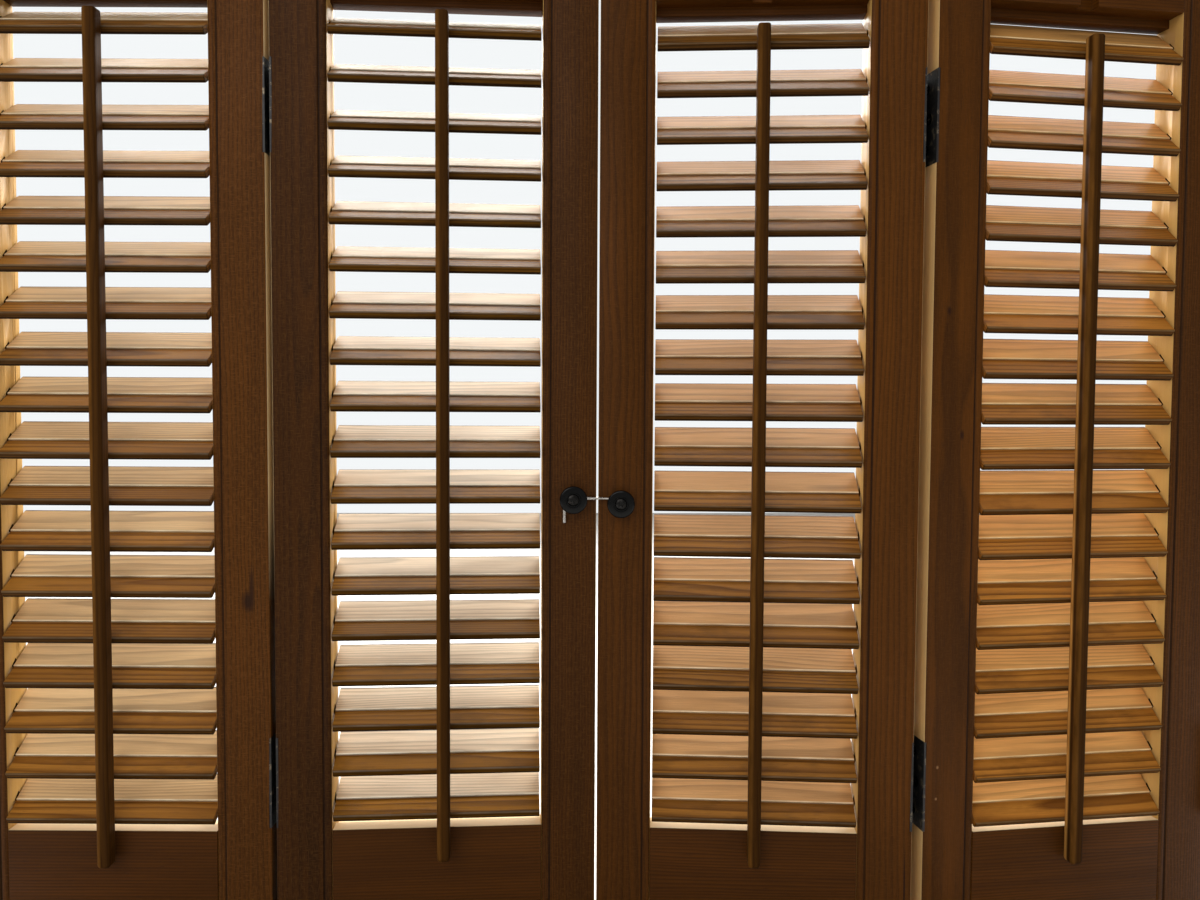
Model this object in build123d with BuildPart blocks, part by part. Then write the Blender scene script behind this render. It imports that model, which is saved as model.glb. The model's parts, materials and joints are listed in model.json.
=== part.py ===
from build123d import *
import os
from math import acos, cos, degrees, hypot, radians, sin, sqrt, tan

# Four louvred leaves, hinged in two folding pairs in a timber surround.
# The room side faces -Y, Z is up, and the origin is the middle of the four wall screws.
# Inside a leaf, x runs from its left edge, y from its room side and z from its lower end.

os.makedirs("parts", exist_ok=True)

# Leaf timber
leaf_thickness = 22.2
stile_width = 30.5
opening_width = 116.8
top_rail_height = 44.45
bottom_rail_height = 76.2
rail_tenon_length = 15.0
rail_tenon_thickness = 7.0
rail_tenon_shoulder = 8.0
glue_space = 0.5

# Bead along the inner room-side edge of every stile
bead_width = 4.6
bead_height = 0.8
bead_shoulder_depth = 0.2
quirk_width = 0.8

# Louvres, lapped above at the front and below at the back
louvre_count = 18
louvre_pitch = 25.4
louvre_chord = 31.75
louvre_thickness = 5.6
louvre_end_gap = 1.0
lap_step = 0.9
lap_start = 3.4
nose_chamfer = 1.0
gap_over_louvres = 12.5
gap_under_louvres = 14.2
shut_tilt = 80.0
rabbet_clearance = 1.2

# Louvre tenons and their bores
tenon_radius = 2.5
tenon_sides = 6
bore_sides = 4
tenon_length = 6.0
tenon_clearance = 0.25
bore_end_clearance = 0.5

# Tilt rod, hung just in front of the louvre noses
rod_width = 7.0
rod_depth = 8.0
rod_nose_gap = 2.2
rod_axis_drop = 1.2
rod_reach_up = 10.0
rod_reach_down = 21.6
rod_end_chamfer = 2.0
rod_edge_chamfer = 1.0
rod_side_clearance = 1.9
rod_back_clearance = 1.5
rod_notch_chamfer = 3.6

# Butt hinges, let in flush over the whole edge of a leaf
hinge_length = 50.8
hinge_inset = 103.6
plate_thickness = 1.2
barrel_radius = 2.4
barrel_sides = 8
barrel_clearance = 0.2
knuckle_clearance = 0.2
pin_radius = 1.2
pin_width_over_flats = 1.92
pin_hole_sides = 6
pin_clearance = 0.15
jamb_gap = 2.4
folding_gap = 0.6
meeting_gap = 6.4

# Timber surround
surround_face = 28.0
surround_depth = 40.0
end_clearance = 4.0
wall_screw_spacing = 400.0
wall_screw_radius = 2.25

# Latch on the meeting stiles
latch_height = 261.7
latch_inset = 13.2
post_radius = 3.4
post_length = 4.0
post_head_radius = 7.75
post_sides = 16
post_head_thickness = 3.0
post_head_chamfer = 0.8
post_recess_radius = 4.1
post_recess_depth = 1.4
hook_wire_radius = 1.0
wire_sides = 6
hook_clearance = 0.5
hook_shank_rise = 2.9
hook_shank_bend = 6.0
hook_finger_drop = 13.0

# How the leaves stand: turn of each seen from above, tilt of its louvres, sideways place of its rod
leaf_turns = {1: -2.7, 2: 1.9, 3: -6.0, 4: 6.35}
leaf_tilts = {1: 31.2, 2: 24.8, 3: 34.4, 4: 40.7}
rod_shifts = {1: 0.0, 2: 4.0, 3: 0.0, 4: 0.0}
right_pair_drop = 2.3

# Sizes that follow
leaf_width = 2 * stile_width + opening_width
louvre_field = gap_under_louvres + (louvre_count - 1) * louvre_pitch + gap_over_louvres
leaf_height = bottom_rail_height + louvre_field + top_rail_height
top_rail_bottom = leaf_height - top_rail_height
lowest_pivot = bottom_rail_height + gap_under_louvres
pivot_heights = [lowest_pivot + n * louvre_pitch for n in range(louvre_count)]
pivot_depth = leaf_thickness / 2
louvre_length = opening_width - 2 * louvre_end_gap
lapped_half = louvre_thickness / 2 - lap_step
hinge_middles = (hinge_inset, leaf_height - hinge_inset)
barrel_reach = barrel_radius + barrel_clearance
knuckle_length = (hinge_length - 2 * knuckle_clearance) / 3
surround_opening_width = 4 * leaf_width + 2 * jamb_gap + 2 * folding_gap + meeting_gap
surround_opening_height = leaf_height + 2 * end_clearance
wire_bend = post_radius + hook_wire_radius + hook_clearance


# Places of the leaves

def corner_on(axis_point, x, y, turn):
    """Place a leaf's corner so that its own point (x, y) lies on a hinge axis."""
    return axis_point - Vector(x, y, 0).rotate(Axis.Z, turn)


def leaf_location(corner, turn, drop):
    """Stand a leaf on its corner, turned about the upright axis."""
    return Location((corner.X, corner.Y, -leaf_height / 2 - drop), (0, 0, turn))


near_edge = (-folding_gap / 2, leaf_thickness + barrel_reach)
far_edge = (leaf_width + folding_gap / 2, leaf_thickness + barrel_reach)

left_jamb_axis = Vector(-surround_opening_width / 2 + jamb_gap / 2, -barrel_reach, 0)
corner_1 = corner_on(left_jamb_axis, -jamb_gap / 2, -barrel_reach, leaf_turns[1])
left_fold_axis = corner_1 + Vector(*far_edge, 0).rotate(Axis.Z, leaf_turns[1])
corner_2 = corner_on(left_fold_axis, *near_edge, leaf_turns[2])

right_jamb_axis = Vector(surround_opening_width / 2 - jamb_gap / 2, -barrel_reach, 0)
corner_4 = corner_on(right_jamb_axis, leaf_width + jamb_gap / 2, -barrel_reach, leaf_turns[4])
right_fold_axis = corner_4 + Vector(*near_edge, 0).rotate(Axis.Z, leaf_turns[4])
corner_3 = corner_on(right_fold_axis, *far_edge, leaf_turns[3])

leaves = {
    1: leaf_location(corner_1, leaf_turns[1], 0),
    2: leaf_location(corner_2, leaf_turns[2], 0),
    3: leaf_location(corner_3, leaf_turns[3], right_pair_drop),
    4: leaf_location(corner_4, leaf_turns[4], right_pair_drop),
}


# Planes inside a leaf

def level_plane(leaf, x, y, z):
    """Give a level plane: sketch x along the leaf, sketch y to the back."""
    return Plane(leaf * Plane(origin=(x, y, z), x_dir=(1, 0, 0), z_dir=(0, 0, 1)).location)


def room_plane(leaf, x, y, z):
    """Give an upright plane that faces the room: sketch x along the leaf, sketch y up."""
    return Plane(leaf * Plane(origin=(x, y, z), x_dir=(1, 0, 0), z_dir=(0, -1, 0)).location)


def cross_plane(leaf, x, y, z, tilt=0.0):
    """Give a plane across the leaf: sketch x to the back and sketch y up, leant by the tilt."""
    back = (0, cos(radians(tilt)), sin(radians(tilt)))
    return Plane(leaf * Plane(origin=(x, y, z), x_dir=back, z_dir=(1, 0, 0)).location)


def nose_axis(tilt):
    """Give where the rod hangs on a louvre, back and up from the louvre's pivot."""
    lean = radians(tilt)
    back = -louvre_chord / 2 * cos(lean) + rod_axis_drop * sin(lean)
    up = -louvre_chord / 2 * sin(lean) - rod_axis_drop * cos(lean)
    return back, up


# Pieces to keep

def keep(piece, name):
    """Label a finished piece and write it to its own file."""
    piece.part.label = name
    export_step(piece.part, f"parts/{name}.step")


def keep_group(pieces, name):
    """Label pieces that stay separate solids as one group and write them to one file."""
    group = Compound([solid for piece in pieces for solid in piece.solids()])
    group.label = name
    export_step(group, f"parts/{name}.step")


# Stiles

def stile_section(plane, side):
    """Draw a stile from its outer edge: side is 1 for a left stile and -1 for a right one."""
    bead_start = stile_width - bead_width
    outline = [
        (0, 0),
        (bead_start - quirk_width, 0),
        (bead_start, bead_height),
        (bead_start + bead_width / 4, bead_shoulder_depth),
        (bead_start + bead_width / 2, 0),
        (stile_width - bead_width / 4, bead_shoulder_depth),
        (stile_width, bead_height),
        (stile_width, leaf_thickness),
        (0, leaf_thickness),
    ]
    with BuildSketch(plane) as section:
        Polygon(*[(side * x, y) for x, y in outline], align=None)
    return section.sketch


def cut_hinge_recesses(frame, edge, side):
    """Cut the recesses that let hinge plates in flush; the timber lies on the given side of the edge."""
    edge_align = Align.MIN if side > 0 else Align.MAX
    with BuildSketch(*[level_plane(frame, edge, 0, z - hinge_length / 2) for z in hinge_middles]) as recess:
        Rectangle(plate_thickness, leaf_thickness, align=(edge_align, Align.MIN))
    extrude(recess.sketch, amount=hinge_length, mode=Mode.SUBTRACT)


def add_stile(leaf, side, hinged):
    """Add a stile, with the recesses for its hinge plates where it has hinges."""
    outer_edge = 0 if side > 0 else leaf_width
    extrude(stile_section(level_plane(leaf, outer_edge, 0, 0), side), amount=leaf_height)
    if hinged:
        cut_hinge_recesses(leaf, outer_edge, side)


def cut_stile_joints(leaf, side):
    """Cut a loose stile's blind bores for the louvres and its mortises for the rails."""
    inner_edge = stile_width if side > 0 else leaf_width - stile_width
    bore_depth = tenon_length + bore_end_clearance
    with BuildSketch(*[cross_plane(leaf, inner_edge, pivot_depth, z) for z in pivot_heights]) as bores:
        RegularPolygon(tenon_radius + tenon_clearance, bore_sides, major_radius=False)
    extrude(bores.sketch, amount=-side * bore_depth, mode=Mode.SUBTRACT)
    for bottom, height in ((0, bottom_rail_height), (top_rail_bottom, top_rail_height)):
        with BuildSketch(cross_plane(leaf, inner_edge, pivot_depth, bottom + height / 2)) as mortise:
            Rectangle(rail_tenon_thickness, height - 2 * rail_tenon_shoulder)
        extrude(mortise.sketch, amount=-side * (rail_tenon_length + glue_space), mode=Mode.SUBTRACT)


# Rails

def rabbet_size(gap):
    """Give the rabbet, depth past the pivots' plane and height, that an end louvre shuts into."""
    shut = radians(shut_tilt)
    depth = lapped_half / sin(shut) - gap / tan(shut) + rabbet_clearance
    height = hypot(louvre_chord / 2, lapped_half) - gap + rabbet_clearance
    return depth, height


def add_bottom_rail(leaf):
    """Add the bottom rail, rabbeted along its upper back edge."""
    depth, height = rabbet_size(gap_under_louvres)
    wall = pivot_depth - depth
    with BuildSketch(cross_plane(leaf, stile_width, 0, 0)) as section:
        Polygon(
            (0, 0),
            (leaf_thickness, 0),
            (leaf_thickness, bottom_rail_height - height),
            (wall, bottom_rail_height - height),
            (wall, bottom_rail_height),
            (0, bottom_rail_height),
            align=None,
        )
    extrude(section.sketch, amount=opening_width)


def add_top_rail(leaf, rod_shift):
    """Add the top rail, rabbeted along its lower front edge and notched for the rod's top."""
    depth, height = rabbet_size(gap_over_louvres)
    wall = pivot_depth + depth
    with BuildSketch(cross_plane(leaf, stile_width, 0, top_rail_bottom)) as section:
        Polygon(
            (0, height),
            (wall, height),
            (wall, 0),
            (leaf_thickness, 0),
            (leaf_thickness, top_rail_height),
            (0, top_rail_height),
            align=None,
        )
    extrude(section.sketch, amount=opening_width)

    back, up = nose_axis(-shut_tilt)
    notch_depth = pivot_depth + back - rod_nose_gap + rod_back_clearance
    notch_width = rod_width + 2 * rod_side_clearance
    shut_rod_top = up + rod_reach_up - gap_over_louvres
    rod_middle = leaf_width / 2 + rod_shift
    with BuildSketch(room_plane(leaf, rod_middle, 0, top_rail_bottom)) as notch:
        Rectangle(notch_width, shut_rod_top + notch_width / 2, align=(Align.CENTER, Align.MIN))
        chamfer(notch.vertices().group_by(Axis.Y)[-1], length=rod_notch_chamfer)
    extrude(notch.sketch, amount=-notch_depth, mode=Mode.SUBTRACT)


def add_rail_tenons(leaf, bottom, height):
    """Add the tenons at both ends of a loose rail."""
    for x in (stile_width - rail_tenon_length, leaf_width - stile_width):
        with BuildSketch(cross_plane(leaf, x, pivot_depth, bottom + height / 2)) as tenon:
            Rectangle(rail_tenon_thickness, height - 2 * rail_tenon_shoulder)
        extrude(tenon.sketch, amount=rail_tenon_length)


# Louvres

def louvre_outline():
    """List the corners of a louvre's section, which looks the same turned half round."""
    front = -louvre_chord / 2
    lower = -louvre_thickness / 2
    front_half = [
        (front + nose_chamfer, lower),
        (front, lower + nose_chamfer),
        (front, lapped_half),
        (-lap_start, lapped_half),
        (-lap_start, -lower),
    ]
    return front_half + [(-x, -y) for x, y in front_half]


def add_louvres(leaf, heights, tilt, start, length):
    """Add louvres at the given heights, from a start along the leaf and of a given length."""
    with BuildSketch(*[cross_plane(leaf, start, pivot_depth, z, tilt) for z in heights]) as blades:
        Polygon(*louvre_outline(), align=None)
    extrude(blades.sketch, amount=length)


def add_louvre_tenons(leaf, height, tilt):
    """Add the tenons at both ends of a loose louvre."""
    reach = louvre_end_gap + tenon_length
    for start in (stile_width - tenon_length, leaf_width - stile_width - louvre_end_gap):
        with BuildSketch(cross_plane(leaf, start, pivot_depth, height, tilt)) as tenon:
            RegularPolygon(tenon_radius, tenon_sides)
        extrude(tenon.sketch, amount=reach)


# Tilt rod

def rod_body(leaf, tilt, rod_shift):
    """Make the rod, its back just in front of the louvre noses at this tilt."""
    back, up = nose_axis(tilt)
    bottom = pivot_heights[0] + up - rod_reach_down
    top = pivot_heights[-1] + up + rod_reach_up
    back_face = room_plane(leaf, leaf_width / 2 + rod_shift, pivot_depth + back - rod_nose_gap, bottom)
    with BuildPart() as rod:
        with BuildSketch(back_face) as front_view:
            Rectangle(rod_width, top - bottom, align=(Align.CENTER, Align.MIN))
            chamfer(front_view.vertices().group_by(Axis.Y)[0], length=rod_end_chamfer)
        extrude(front_view.sketch, amount=rod_depth)
        chamfer(rod.faces().sort_by(Axis.Y)[0].edges(), length=rod_edge_chamfer)
    return rod


# Butt hinges

def barrel_axis(edge, side, gap, toward):
    """Give a hinge's axis in plan: toward is 1 for a barrel behind the leaf and -1 for one in front."""
    face = leaf_thickness if toward > 0 else 0
    return edge - side * gap / 2, face + toward * barrel_reach


def add_hinge_plates(frame, edge, side, gap, toward, has_outer_knuckles):
    """Add the two plates let in along one edge, each with its outer knuckles or its middle one."""
    axis_x, axis_y = barrel_axis(edge, side, gap, toward)
    edge_align = Align.MIN if side > 0 else Align.MAX
    web_align = Align.MAX if toward > 0 else Align.MIN
    knuckle_pitch = knuckle_length + knuckle_clearance
    knuckle_rises = (0, 2 * knuckle_pitch) if has_outer_knuckles else (knuckle_pitch,)
    bore = pin_radius if has_outer_knuckles else pin_radius + pin_clearance
    plate_ends = [z - hinge_length / 2 for z in hinge_middles]
    knuckle_ends = [z + rise for z in plate_ends for rise in knuckle_rises]
    with BuildSketch(*[level_plane(frame, edge, 0, z) for z in plate_ends]) as plates:
        Rectangle(plate_thickness, leaf_thickness, align=(edge_align, Align.MIN))
    extrude(plates.sketch, amount=hinge_length)
    with BuildSketch(*[level_plane(frame, edge, axis_y, z) for z in knuckle_ends]) as webs:
        Rectangle(plate_thickness, barrel_reach, align=(edge_align, web_align))
    extrude(webs.sketch, amount=knuckle_length)
    with BuildSketch(*[level_plane(frame, axis_x, axis_y, z) for z in knuckle_ends]) as knuckles:
        RegularPolygon(barrel_radius, barrel_sides)
    extrude(knuckles.sketch, amount=knuckle_length)
    with BuildSketch(*[level_plane(frame, axis_x, axis_y, z) for z in knuckle_ends]) as holes:
        RegularPolygon(bore, pin_hole_sides, major_radius=False)
    extrude(holes.sketch, amount=knuckle_length, mode=Mode.SUBTRACT)


def add_hinge_pins(frame, edge, side, gap, toward):
    """Add the pins of the two hinges along one edge."""
    axis_x, axis_y = barrel_axis(edge, side, gap, toward)
    pin_ends = [level_plane(frame, axis_x, axis_y, z - hinge_length / 2) for z in hinge_middles]
    with BuildSketch(*pin_ends) as pins:
        Circle(pin_radius)
        Rectangle(pin_width_over_flats, pin_width_over_flats, mode=Mode.INTERSECT)
    extrude(pins.sketch, amount=hinge_length)


# Latch

def latch_post(leaf, x):
    """Turn a latch post: a neck on the stile and a wide head with a recess for its screw."""
    front = post_length + post_head_thickness
    with BuildPart() as post:
        with BuildSketch(room_plane(leaf, x, 0, latch_height)):
            RegularPolygon(post_radius, post_sides)
        extrude(amount=post_length)
        with BuildSketch(room_plane(leaf, x, -post_length, latch_height)):
            RegularPolygon(post_head_radius, post_sides)
        extrude(amount=post_head_thickness)
        chamfer(post.faces().sort_by(Axis.Y)[0].edges(), length=post_head_chamfer)
        with BuildSketch(room_plane(leaf, x, -front, latch_height)):
            RegularPolygon(post_recess_radius, post_sides)
        extrude(amount=-post_recess_depth, mode=Mode.SUBTRACT)
    return post


def wire_section(point, outward):
    """Draw the hook wire's section; outward lies across the wire, in the upright plane of the hook."""
    heading = outward.cross(Vector(0, 1, 0))
    with BuildSketch(Plane(point, x_dir=outward, z_dir=heading)) as section:
        RegularPolygon(hook_wire_radius, wire_sides)
    return section.sketch


def latch_wire_hook():
    """Bend the wire hook: an eye round its post, a shank across the gap and a finger over the keeper."""
    eye = (leaves[3] * Pos(latch_inset, -post_length / 2, latch_height)).position
    keeper = (leaves[2] * Pos(leaf_width - latch_inset, -post_length / 2, latch_height)).position
    keeper = Vector(keeper.X, eye.Y, keeper.Z)
    climb = acos((eye.Z + hook_shank_rise + hook_shank_bend - keeper.Z) / (wire_bend + hook_shank_bend))
    shank_start = eye + Vector(-sqrt(wire_bend**2 - hook_shank_rise**2), 0, hook_shank_rise)
    shank_end = Vector(keeper.X + (wire_bend + hook_shank_bend) * sin(climb), eye.Y, shank_start.Z)
    bend_middle = shank_end + Vector(0, 0, hook_shank_bend)
    from_keeper = Vector(sin(climb), 0, cos(climb))
    finger_start = keeper - Vector(wire_bend, 0, 0)
    with BuildPart() as hook:
        revolve(wire_section(eye + Vector(wire_bend, 0, 0), Vector(1, 0, 0)), axis=Axis(eye, (0, 1, 0)))
        extrude(wire_section(shank_start, Vector(0, 0, 1)), amount=shank_start.X - shank_end.X)
        revolve(
            wire_section(shank_end, Vector(0, 0, 1)),
            axis=Axis(bend_middle, (0, 1, 0)),
            revolution_arc=degrees(climb),
        )
        revolve(
            wire_section(keeper + wire_bend * from_keeper, from_keeper),
            axis=Axis(keeper, (0, -1, 0)),
            revolution_arc=90 + degrees(climb),
        )
        extrude(wire_section(finger_start, Vector(-1, 0, 0)), amount=hook_finger_drop)
    return hook


# Surround: jambs, head and sill in one
left_jamb = Location((-surround_opening_width / 2, 0, -leaf_height / 2))
right_jamb = Location((surround_opening_width / 2, 0, -leaf_height / 2 - right_pair_drop))
with BuildPart() as surround:
    with BuildSketch(Plane.XZ) as face:
        Rectangle(surround_opening_width + 2 * surround_face, surround_opening_height + 2 * surround_face)
        Rectangle(surround_opening_width, surround_opening_height, mode=Mode.SUBTRACT)
    extrude(amount=-surround_depth)
    cut_hinge_recesses(left_jamb, 0, -1)
    cut_hinge_recesses(right_jamb, 0, 1)
    with Locations(Plane.XZ):
        with GridLocations(surround_opening_width + surround_face, wall_screw_spacing, 2, 2):
            Hole(wall_screw_radius)
keep(surround, "surround_frame")

# Outer leaves: their louvres are made in one with the frame and stand still
for number in (1, 4):
    leaf = leaves[number]
    with BuildPart() as leaf_frame:
        add_stile(leaf, 1, hinged=True)
        add_stile(leaf, -1, hinged=True)
        add_bottom_rail(leaf)
        add_top_rail(leaf, rod_shifts[number])
        add_louvres(leaf, pivot_heights, leaf_tilts[number], stile_width, opening_width)
    keep(leaf_frame, f"leaf_{number}_frame_with_louvres")

# Meeting leaves: every piece is loose
for number, hinged_side in ((2, 1), (3, -1)):
    leaf = leaves[number]
    for side, side_name in ((1, "left"), (-1, "right")):
        with BuildPart() as stile:
            add_stile(leaf, side, hinged=side == hinged_side)
            cut_stile_joints(leaf, side)
        keep(stile, f"leaf_{number}_{side_name}_stile")
    with BuildPart() as bottom_rail:
        add_bottom_rail(leaf)
        add_rail_tenons(leaf, 0, bottom_rail_height)
    keep(bottom_rail, f"leaf_{number}_bottom_rail")
    with BuildPart() as top_rail:
        add_top_rail(leaf, rod_shifts[number])
        add_rail_tenons(leaf, top_rail_bottom, top_rail_height)
    keep(top_rail, f"leaf_{number}_top_rail")
    for place, height in enumerate(reversed(pivot_heights), start=1):
        with BuildPart() as louvre:
            add_louvres(leaf, [height], leaf_tilts[number], stile_width + louvre_end_gap, louvre_length)
            add_louvre_tenons(leaf, height, leaf_tilts[number])
        keep(louvre, f"leaf_{number}_louvre_{place:02d}")

# Tilt rods
for number, leaf in leaves.items():
    keep(rod_body(leaf, leaf_tilts[number], rod_shifts[number]), f"leaf_{number}_tilt_rod")

# Hinge leaves, each with the pins that it carries
with BuildPart() as surround_hinges:
    add_hinge_plates(left_jamb, 0, -1, jamb_gap, -1, has_outer_knuckles=True)
    add_hinge_plates(right_jamb, 0, 1, jamb_gap, -1, has_outer_knuckles=True)
with BuildPart() as surround_pins:
    add_hinge_pins(left_jamb, 0, -1, jamb_gap, -1)
    add_hinge_pins(right_jamb, 0, 1, jamb_gap, -1)
keep_group([surround_hinges, surround_pins], "surround_hinge_leaves")

with BuildPart() as leaf_1_hinges:
    add_hinge_plates(leaves[1], 0, 1, jamb_gap, -1, has_outer_knuckles=False)
    add_hinge_plates(leaves[1], leaf_width, -1, folding_gap, 1, has_outer_knuckles=True)
with BuildPart() as leaf_1_pins:
    add_hinge_pins(leaves[1], leaf_width, -1, folding_gap, 1)
keep_group([leaf_1_hinges, leaf_1_pins], "leaf_1_hinge_leaves")

with BuildPart() as leaf_2_hinges:
    add_hinge_plates(leaves[2], 0, 1, folding_gap, 1, has_outer_knuckles=False)
keep(leaf_2_hinges, "leaf_2_hinge_leaves")

with BuildPart() as leaf_3_hinges:
    add_hinge_plates(leaves[3], leaf_width, -1, folding_gap, 1, has_outer_knuckles=False)
keep(leaf_3_hinges, "leaf_3_hinge_leaves")

with BuildPart() as leaf_4_hinges:
    add_hinge_plates(leaves[4], leaf_width, -1, jamb_gap, -1, has_outer_knuckles=False)
    add_hinge_plates(leaves[4], 0, 1, folding_gap, 1, has_outer_knuckles=True)
with BuildPart() as leaf_4_pins:
    add_hinge_pins(leaves[4], 0, 1, folding_gap, 1)
keep_group([leaf_4_hinges, leaf_4_pins], "leaf_4_hinge_leaves")

# Latch
keep(latch_post(leaves[2], leaf_width - latch_inset), "latch_keeper_post")
keep(latch_post(leaves[3], latch_inset), "latch_hook_post")
keep(latch_wire_hook(), "latch_hook")
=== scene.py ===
import json
from math import acos, cos, pi, radians, sin, sqrt, tan

import bmesh
import bpy
from mathutils import Matrix, Vector


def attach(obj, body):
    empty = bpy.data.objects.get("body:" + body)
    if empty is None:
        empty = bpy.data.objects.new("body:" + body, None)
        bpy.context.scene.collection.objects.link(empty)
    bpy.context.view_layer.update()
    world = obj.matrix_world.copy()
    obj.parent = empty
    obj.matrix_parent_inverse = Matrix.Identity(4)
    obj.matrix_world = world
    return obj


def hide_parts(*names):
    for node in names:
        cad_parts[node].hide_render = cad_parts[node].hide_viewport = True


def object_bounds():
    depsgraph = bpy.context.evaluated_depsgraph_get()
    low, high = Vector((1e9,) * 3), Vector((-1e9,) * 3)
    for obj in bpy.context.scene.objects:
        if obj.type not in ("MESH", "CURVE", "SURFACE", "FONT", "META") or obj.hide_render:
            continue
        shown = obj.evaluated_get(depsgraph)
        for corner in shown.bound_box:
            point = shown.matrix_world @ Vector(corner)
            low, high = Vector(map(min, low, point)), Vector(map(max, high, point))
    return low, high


# Four louvred shutter leaves in their surround: timber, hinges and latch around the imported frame.
# Lengths are in metres and angles in degrees. Inside a leaf, x runs along it, y to the back and z up.

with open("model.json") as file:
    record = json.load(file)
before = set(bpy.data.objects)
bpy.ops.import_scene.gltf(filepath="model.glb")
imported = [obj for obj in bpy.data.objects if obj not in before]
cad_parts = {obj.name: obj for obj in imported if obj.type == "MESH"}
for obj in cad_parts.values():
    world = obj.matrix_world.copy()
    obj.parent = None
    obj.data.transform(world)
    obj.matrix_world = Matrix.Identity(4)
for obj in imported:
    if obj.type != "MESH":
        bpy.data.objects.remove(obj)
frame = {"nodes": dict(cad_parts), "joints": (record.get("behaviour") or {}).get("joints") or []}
cad_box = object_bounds()
joint_places = {joint["name"]: Vector(joint["pos_m"]) for joint in frame["joints"]}

# Leaf sizes
LEAF_THICKNESS = 0.0222
LEAF_WIDTH = 0.1778
LEAF_HEIGHT = 0.57915
STILE_WIDTH = 0.0305
BEAD_WIDTH = 0.0046
QUIRK_HALF_WIDTH = 0.0008
JAMB_GAP = 0.0024
FOLDING_GAP = 0.0006
BARREL_REACH = 0.0026
TOP_RAIL_HEIGHT = 0.04445
GAP_OVER_LOUVRES = 0.0125
PIVOT_DEPTH = LEAF_THICKNESS / 2
SURROUND_FACE = 0.0280

# Louvres
LOUVRE_COUNT = 18
LOUVRE_PITCH = 0.0254
LOUVRE_CHORD = 0.03175
LOUVRE_THICKNESS = 0.0056
LOUVRE_END_GAP = 0.0010
LOUVRE_END_EASE = 0.0003
LAP_STEP = 0.0009
LAP_START = 0.0034
NOSE_ROUND = 0.0015
STEP_ROUND = 0.0004
# Width over which rubbing and painted light fade from a louvre's edge
LOUVRE_WEAR_AND_LIGHT_WIDTH = 0.0005

# Tilt rods
ROD_WIDTH = 0.0070
ROD_DEPTH = 0.0080
ROD_NOSE_GAP = 0.0022
ROD_AXIS_DROP = 0.0012
ROD_REACH_UP = 0.0100
ROD_REACH_DOWN = 0.0216
ROD_FRONT_ROUND = 0.0017
ROD_BACK_ROUND = 0.0004
# Width over which rubbing and painted light fade from a rod's edge
ROD_WEAR_AND_LIGHT_WIDTH = 0.0011
STAPLE_WIRE = 0.00034
STAPLE_SIDES = 8
STAPLE_STEPS = 12
LOUVRE_STAPLE_HALF_WIDTH = 0.0017
ROD_STAPLE_HALF_WIDTH = 0.0010
STAPLE_REACH = 0.0014

# How a rod's ends are rounded: distance from the end, then inset
ROD_LOWER_END = [(0, 0.0017), (0.0003, 0.0011), (0.0009, 0.0005), (0.0018, 0.0001), (0.0026, 0)]
ROD_UPPER_END = [(0.0012, 0), (0.0004, 0.0002), (0, 0.0006)]

# Latch
LATCH_HEIGHT = 0.2617
LATCH_INSET = 0.0132
POST_RADIUS = 0.0034
POST_LENGTH = 0.0040
HEAD_RADIUS = 0.00775
HEAD_THICKNESS = 0.0030
HEAD_ROUND = 0.0010
HEAD_ROUND_STEPS = 6
HEAD_BACK_EASE = 0.0004
RECESS_RADIUS = 0.0041
RECESS_DEPTH = 0.0014
RECESS_EASE = 0.0002
SCREW_RADIUS = 0.0034
SCREW_DOME = 0.0011
SCREW_DOME_STEPS = 8
SCREW_SEGMENTS = 48
SCREW_SEAT = 0.0003
SCREW_CROSS_REACH = 0.56
SCREW_CROSS_HALF_WIDTH = 0.00042
SCREW_CROSS_DEPTH = 0.0009
KEEPER_SCREW_TURN = 12
HOOK_SCREW_TURN = 38
WIRE_RADIUS = 0.0010
HOOK_CLEARANCE = 0.0005
HOOK_RISE = 0.0029
HOOK_BEND = 0.0060
HOOK_DROP = 0.0130
EYE_START = 148
EYE_SWEEP = -330
EYE_STEPS = 48
HOOK_BEND_STEPS = 12
HOOK_OVER_STEPS = 24

# Hinge screws, set flush in the plates
HINGE_INSET = 0.1036
HINGE_SCREW_RADIUS = 0.0031
HINGE_SCREW_DOME = 0.00018
HINGE_SCREW_SPACING = 0.0168
HINGE_SCREW_STAGGER = 0.0032
HINGE_SCREW_TURN = 31
HINGE_SCREW_SEGMENTS = 24

# Angles from which an edge is shaded sharp
TIMBER_SHARP_ANGLE = 32.0
POST_SHARP_ANGLE = 40.0
WIRE_SHARP_ANGLE = 60.0

# How the leaves stand
LEAF_TURNS = {1: -2.7, 2: 1.9, 3: -6.0, 4: 6.35}
LEAF_TILTS = {1: 31.2, 2: 24.8, 3: 34.4, 4: 40.7}
LEAF_DROPS = {1: 0.0, 2: 0.0, 3: 0.0023, 4: 0.0023}
ROD_SHIFTS = {1: 0.0, 2: 0.0040, 3: 0.0, 4: 0.0}
LEAF_HINGES = {
    1: ("left_jamb_hinge", (-JAMB_GAP / 2, -BARREL_REACH)),
    2: ("left_fold_hinge", (-FOLDING_GAP / 2, LEAF_THICKNESS + BARREL_REACH)),
    3: ("right_fold_hinge", (LEAF_WIDTH + FOLDING_GAP / 2, LEAF_THICKNESS + BARREL_REACH)),
    4: ("right_jamb_hinge", (LEAF_WIDTH + JAMB_GAP / 2, -BARREL_REACH)),
}

# The leaves whose louvres and rod are bodies of their own
MEETING_LEAVES = (2, 3)

# Camera
IMAGE_WIDTH = 1200
FOCAL_PIXELS = 1020.93
SENSOR_WIDTH = 36.0
CAMERA_PLACE = Vector((-0.02555, -0.5743, 0.0271))
CAMERA_TURN = 2.61
CAMERA_PITCH = 2.73
CAMERA_ROLL = 0.30
CAMERA_CLIP = 0.01

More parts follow.
